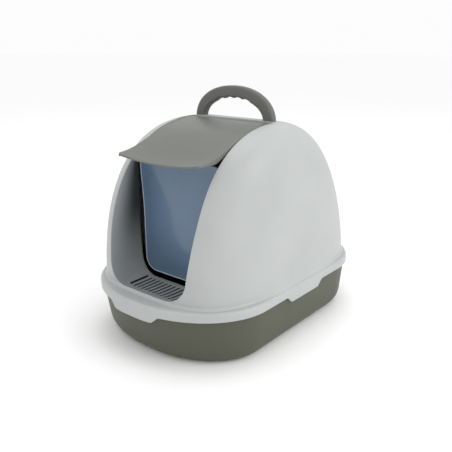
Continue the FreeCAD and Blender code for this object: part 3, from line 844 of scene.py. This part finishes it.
def handleTree():
    tree, group, output = newTree("carryHandle", handle)
    size = group.outputs
    points = 97
    line = addNode(tree, "GeometryNodeMeshLine", Count=points)
    curve = addNode(tree, "GeometryNodeMeshToCurve", Mesh=line.outputs[0])
    index = tree.nodes.new("GeometryNodeInputIndex").outputs[0]
    angle = calc(tree, "MULTIPLY", index, math.pi / (points - 1))
    power = calc(tree, "DIVIDE", 2.0, size["Roundness"])
    cosine, sine = calc(tree, "COSINE", angle), calc(tree, "SINE", angle)
    width = calc(tree, "POWER", calc(tree, "ABSOLUTE", cosine), power)
    across = calc(tree, "MULTIPLY", width, calc(tree, "SIGN", cosine))
    up = calc(tree, "POWER", calc(tree, "ABSOLUTE", sine), power)
    x = calc(tree, "MULTIPLY", across, size["Half Span"])
    z = calc(tree, "MULTIPLY_ADD", up, size["Rise"], size["Foot Height"])
    spot = addNode(tree, "ShaderNodeCombineXYZ", X=x, Y=size["Middle"], Z=z)
    arch = addNode(tree, "GeometryNodeSetPosition", Geometry=curve.outputs[0], Position=spot.outputs[0])
    even = addNode(tree, "GeometryNodeResampleCurve", Curve=arch.outputs[0], Count=150)
    upright = addNode(
        tree, "GeometryNodeSetCurveNormal", {"mode": "FREE"},
        Curve=even.outputs[0], Normal=(0, 1, 0),
    )
    outline = addNode(
        tree, "GeometryNodeCurvePrimitiveQuadrilateral", {"mode": "RECTANGLE"},
        Width=size["Bar Depth"], Height=size["Bar Width"],
    )
    rounded = addNode(
        tree, "GeometryNodeFilletCurve", {"mode": "POLY"},
        Curve=outline.outputs[0], Count=5, Radius=size["Corner"],
    )
    bar = addNode(
        tree, "GeometryNodeCurveToMesh",
        Curve=upright.outputs[0], Profile_Curve=rounded.outputs[0], Fill_Caps=True,
    )

    # finger grips: shallow hollows pressed up into the bar, where only points on its underside move
    position = tree.nodes.new("GeometryNodeInputPosition").outputs[0]
    point = addNode(tree, "ShaderNodeSeparateXYZ", Vector=position).outputs
    away = calc(tree, "ABSOLUTE", point["X"])
    share = calc(tree, "POWER", calc(tree, "DIVIDE", away, size["Half Span"]), size["Roundness"])
    flat = calc(tree, "MAXIMUM", calc(tree, "SUBTRACT", 1.0, share), 0.0)
    middle = calc(tree, "POWER", flat, calc(tree, "DIVIDE", 1.0, size["Roundness"]))
    middleZ = calc(tree, "MULTIPLY_ADD", middle, size["Rise"], size["Foot Height"])
    below = calc(tree, "SUBTRACT", middleZ, point["Z"])
    under = addNode(tree, "ShaderNodeMapRange", Value=below, From_Min=0.005, From_Max=0.0105)
    beat = calc(tree, "FRACT", calc(tree, "DIVIDE", away, size["Grip Pitch"]))
    swing = calc(tree, "MULTIPLY_ADD", beat, 2.0, -1.0)
    hollow = calc(tree, "SUBTRACT", 1.0, calc(tree, "MULTIPLY", swing, swing))
    within = calc(tree, "LESS_THAN", away, size["Grip Reach"])
    mask = calc(tree, "MULTIPLY", within, under.outputs[0])
    push = calc(tree, "MULTIPLY", calc(tree, "MULTIPLY", hollow, size["Grip Depth"]), mask)
    lift = addNode(tree, "ShaderNodeCombineXYZ", Z=push)
    gripped = addNode(tree, "GeometryNodeSetPosition", Geometry=bar.outputs[0], Offset=lift.outputs[0])
    finishTree(tree, group, output, gripped.outputs[0])
    return tree


carryHandle = bpy.data.objects.new("carryHandle", bpy.data.meshes.new("carryHandle"))
bpy.context.collection.objects.link(carryHandle)
runTree(carryHandle, handleTree(), handle, handlePlastic)
place(carryHandle, "hood", "carry_handle", "handle_plastic")


# Lid: follows the roof from its hinge and turns out into a visor.

lid = {
    "half": 0.102, "corner": 0.009, "reach": 0.208, "wall": 0.0026, "edge": 0.0028,
    "barrel": (-0.003, 0.4005, 0.004), "barrelHalf": 0.088, "columns": 47,
    "ears": (0.082, 0.092), "earRadius": 0.006, "earPlace": (-0.150, 0.355), "earTops": (0.3655, 0.3620),
    "topLine": [(0.003, 0.4045), (0.020, 0.4042), (0.056, 0.3982), (0.085, 0.3915), (0.113, 0.3815),
                (0.137, 0.3720), (0.162, 0.3630), (0.186, 0.3575), (0.208, 0.3555)],
    "crown": [(0.003, 0.0), (0.030, 0.001), (0.070, 0.003), (0.110, 0.0045),
              (0.150, 0.003), (0.180, -0.002), (0.208, -0.0080)],
    "cheek": [(0.003, 0.0035), (0.030, 0.005), (0.120, 0.006), (0.150, 0.0095),
              (0.168, 0.0095), (0.190, 0.0045), (0.208, 0.0032)],
}


def lidTop(x, y):
    share = (abs(x) / lid["half"]) ** 2.2
    return follow(lid["topLine"], -y) + follow(lid["crown"], -y) * (1 - share)


def lidRows():
    # (y, half width, how far the edge has turned down) from the hinge to the visor's front edge
    half, corner, edge, reach = lid["half"], lid["corner"], lid["edge"], lid["reach"]
    rows = [(y, half, 0.0) for y in spread(-0.003, -(reach - corner), 40)]
    for turn in spread(0.0, math.pi / 2, 10)[1:]:
        y = -(reach - corner) - corner * math.sin(turn)
        rows.append((y, half - corner * (1 - math.cos(turn)), 0.0))
    visorHalf = rows[-1][1]
    for turn in spread(0.0, math.pi / 2, 5)[1:]:
        out, down = edge * math.sin(turn), edge * (1 - math.cos(turn))
        rows.append((-reach - out * 0.6, visorHalf + out * 0.4, down))
    return rows


def cheekSteps(cheek):
    # (outwards, down) round the lid's side edge and down its cheek
    edge = lid["edge"]
    low = min(edge, cheek)
    steps = []
    for turn in spread(0.0, math.pi / 2, 5)[1:]:
        steps.append((edge * math.sin(turn), low * (1 - math.cos(turn))))
    return steps + [(edge, low + (cheek - low) * 0.5), (edge, cheek)]


def buildLidShell():
    rings = []
    for y, half, drop in lidRows():
        inner = half - lid["edge"]
        line = [Vector((x, y, lidTop(x, y) - drop)) for x in spread(-inner, inner, lid["columns"])]
        side = cheekSteps(max(follow(lid["cheek"], -y) - drop, 0.0002))
        left = [Vector((line[0].x - out, y, line[0].z - down)) for out, down in reversed(side)]
        right = [Vector((line[-1].x + out, y, line[-1].z - down)) for out, down in side]
        rings.append(left + line + right)
    shell = loftRings("lidShell", rings, closed=False, capped=False)
    addWall(shell, lid["wall"])
    addBevel(shell, 0.0006, 2, 60)
    return settle(shell, 45)


def buildRod(name, startX, endX, y, z, radius):
    edge = radius * 0.18
    rings = []
    for x, inset in ((startX, edge), (startX + edge, 0), (endX - edge, 0), (endX, edge)):
        rings.append([Vector((x, *spot)) for spot in circle((y, z), radius - inset, 32)])
    return settle(loftRings(name, rings))


def buildEar(sign):
    y, z = lid["earPlace"]
    rearTop, frontTop = lid["earTops"]
    radius = lid["earRadius"]
    outline = [(y + radius, rearTop), (y + radius, z)]
    for turn in spread(0.0, math.pi, 13)[1:]:
        outline.append((y + radius * math.cos(turn), z - radius * math.sin(turn)))
    outline.append((y - radius - 0.002, frontTop))
    rings = [[Vector((sign * x, *spot)) for spot in outline] for x in lid["ears"]]
    ear = loftRings("lidEar", rings)
    addBevel(ear, 0.0006, 2, 60)
    return settle(ear)


barrelY, barrelZ, barrelRadius = lid["barrel"]
lidParts = [
    buildLidShell(),
    buildRod("lidBarrel", -lid["barrelHalf"], lid["barrelHalf"], barrelY, barrelZ, barrelRadius),
    buildEar(1.0),
    buildEar(-1.0),
]
place(joined("lidShell", lidParts), "lid", "lid", "lid_plastic", lidPlastic)


# Door: a thin flap with a raised bead round it, hung from its axle.

door = {
    "y": -0.150, "bottom": 0.110, "top": 0.345, "corner": 0.028, "topCorner": 0.0145,
    "thickness": 0.0025, "bead": 0.0004, "beadWidth": 0.0030, "beadSlope": 0.0008, "bow": 0.0015,
    "neckHalf": 0.081, "neckOverlap": 0.004, "axleHeight": 0.355, "barrelRadius": 0.0042,
    "halfWidths": [(0.110, 0.0960), (0.160, 0.0965), (0.235, 0.0970), (0.275, 0.0990), (0.305, 0.1018),
                   (0.335, 0.1028), (0.345, 0.1028)],
}


def doorOutline():
    # right half from the bottom middle up to the top, then mirrored
    corner, topCorner, bottom, top = door["corner"], door["topCorner"], door["bottom"], door["top"]
    right = [(x, bottom) for x in spread(0.0, follow(door["halfWidths"], bottom) - corner, 12)[:-1]]
    half = follow(door["halfWidths"], bottom + corner)
    for turn in spread(0.0, math.pi / 2, 12):
        right.append((half - corner + corner * math.sin(turn), bottom + corner * (1 - math.cos(turn))))
    shoulder = top - topCorner
    for z in spread(bottom + corner, shoulder, 26)[1:]:
        right.append((follow(door["halfWidths"], z), z))
    half = follow(door["halfWidths"], shoulder)
    for turn in spread(0.0, math.pi / 2, 8)[1:]:
        right.append((half - topCorner * (1 - math.cos(turn)), shoulder + topCorner * math.sin(turn)))
    right += [(x, top) for x in spread(half - topCorner, 0.0, 14)[1:]]
    left = [(-x, z) for x, z in reversed(right[1:-1])]
    return right + left


def insetOutline(outline, inset):
    moved = []
    count = len(outline)
    for index, (x, z) in enumerate(outline):
        before, after = outline[index - 1], outline[(index + 1) % count]
        along = Vector((after[0] - before[0], after[1] - before[1])).normalized()
        moved.append((x - along.y * inset, z + along.x * inset))
    return moved


def doorRing(outline, y):
    # the flap bows towards the front, most at its middle
    middleZ = (door["bottom"] + door["top"]) / 2
    reachX, reachZ = 0.1, (door["top"] - door["bottom"]) / 2
    ring = []
    for x, z in outline:
        away = max(abs(x) / reachX, abs(z - middleZ) / reachZ)
        ring.append(Vector((x, door["y"] + y - door["bow"] * max(1 - away ** 2, 0.0), z)))
    return ring


def onBead(x, z):
    # the pale raised strip down both sides, round the bottom corners and along the bottom
    width, bead, corner = follow(door["halfWidths"], z), door["beadWidth"], door["corner"]
    if width - abs(x) < bead or z - door["bottom"] < bead:
        return True
    cornerX = abs(x) - (width - corner)
    cornerZ = door["bottom"] + corner - z
    return cornerX > 0 and cornerZ > 0 and math.hypot(cornerX, cornerZ) > corner - bead


def buildDoorPlate():
    outline = doorOutline()
    half = door["thickness"] / 2
    bead, width = door["bead"], door["beadWidth"]
    slopeEnd = width + door["beadSlope"]
    edge = [(0.0008, half + bead), (0.0002, half * 0.6), (0.0002, -half * 0.6), (0.0008, -half - bead)]
    back = [(slopeEnd, half), (width, half + bead)]
    front = [(width, -half - bead), (slopeEnd, -half)]
    inner = insetOutline(outline, slopeEnd)
    middleZ = (door["bottom"] + door["top"]) / 2
    shares = [0.04, 0.3, 0.6, 0.85]
    scaled = []
    for share in shares:
        scaled.append([(x * share, middleZ + (z - middleZ) * share) for x, z in inner])
    rings = [doorRing(points, half) for points in scaled]
    rings += [doorRing(insetOutline(outline, inset), y) for inset, y in back + edge + front]
    rings += [doorRing(points, -half) for points in reversed(scaled)]
    plate = loftRings("doorPlate", rings)
    plate.data.materials.append(doorPlastic)
    plate.data.materials.append(doorEdgePlastic)
    settle(plate, 30)
    for face in plate.data.polygons:
        face.material_index = int(onBead(face.center.x, face.center.z))
    return plate


def buildNeck():
    radius = door["barrelRadius"]
    z = door["axleHeight"]
    half = door["thickness"] / 2
    foot = door["top"] - door["neckOverlap"]
    outline = [(door["y"] + half, foot)]
    for turn in spread(math.radians(-70), math.radians(250), 25):
        outline.append((door["y"] + radius * math.cos(turn), z + radius * math.sin(turn)))
    outline.append((door["y"] - half, foot))
    rings = [[Vector((x, *spot)) for spot in outline] for x in (-door["neckHalf"], door["neckHalf"])]
    return settle(loftRings("doorNeck", rings))


doorFlap = joined("doorFlap", [buildDoorPlate(), buildNeck()])
place(doorFlap, "door", "swing_door", "door_plastic")


# Small turned parts keep their exact CAD shape and get a finish.

finishes = {
    "lid_hinge_pin_right": pinPlastic, "lid_hinge_pin_left": pinPlastic,
    "door_axle": axleSteel, "handle_screws": axleSteel,
}
for node, material in finishes.items():
    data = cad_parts[node].data
    data.materials.clear()
    data.materials.append(material)


# Room: pale floor, soft light, camera

room = {
    "floorHalf": 40.0, "floorColour": (253, 253, 253), "worldLight": 0.98,
    "cameraPlace": (0.70937, -0.87159, 0.54021), "cameraTarget": (0.0, -0.01336, 0.18546), "lens": 44.6,
    "lampTarget": (0, 0, 0.15),
    "lamps": {
        "keyLamp": {"spot": (2.1, 0.5, 1.5), "size": 1.6, "power": 18},
        "topLamp": {"spot": (-0.2, 0.5, 2.6), "size": 1.6, "power": 12},
    },
}


def aim(thing, target):
    direction = Vector(target) - thing.location
    thing.rotation_euler = direction.to_track_quat("-Z", "Y").to_euler()


def buildRoom():
    half = room["floorHalf"]
    corners = [(-half, -half, 0), (half, -half, 0), (half, half, 0), (-half, half, 0)]
    floor = makeObject("floor", corners, [(0, 1, 2, 3)])
    floor.data.materials.append(plastic("floorPaint", room["floorColour"], 0.7, grain=0.0, drift=0.0))
    for name, settings in room["lamps"].items():
        lamp = bpy.data.lights.new(name, "AREA")
        lamp.size = settings["size"]
        lamp.energy = settings["power"]
        thing = bpy.data.objects.new(name, lamp)
        thing.location = settings["spot"]
        bpy.context.collection.objects.link(thing)
        aim(thing, room["lampTarget"])
    world = bpy.data.worlds.new("studio")
    world.use_nodes = True
    world.node_tree.nodes["Background"].inputs["Color"].default_value = (1, 1, 1, 1)
    world.node_tree.nodes["Background"].inputs["Strength"].default_value = room["worldLight"]
    bpy.context.scene.world = world
    bpy.context.scene.view_settings.view_transform = "Standard"


def buildCamera():
    lens = bpy.data.cameras.new("viewCamera")
    lens.lens = room["lens"]
    lens.sensor_width = 36
    camera = bpy.data.objects.new("viewCamera", lens)
    camera.location = room["cameraPlace"]
    bpy.context.collection.objects.link(camera)
    aim(camera, room["cameraTarget"])
    bpy.context.scene.camera = camera


buildRoom()
buildCamera()
print("room ready")
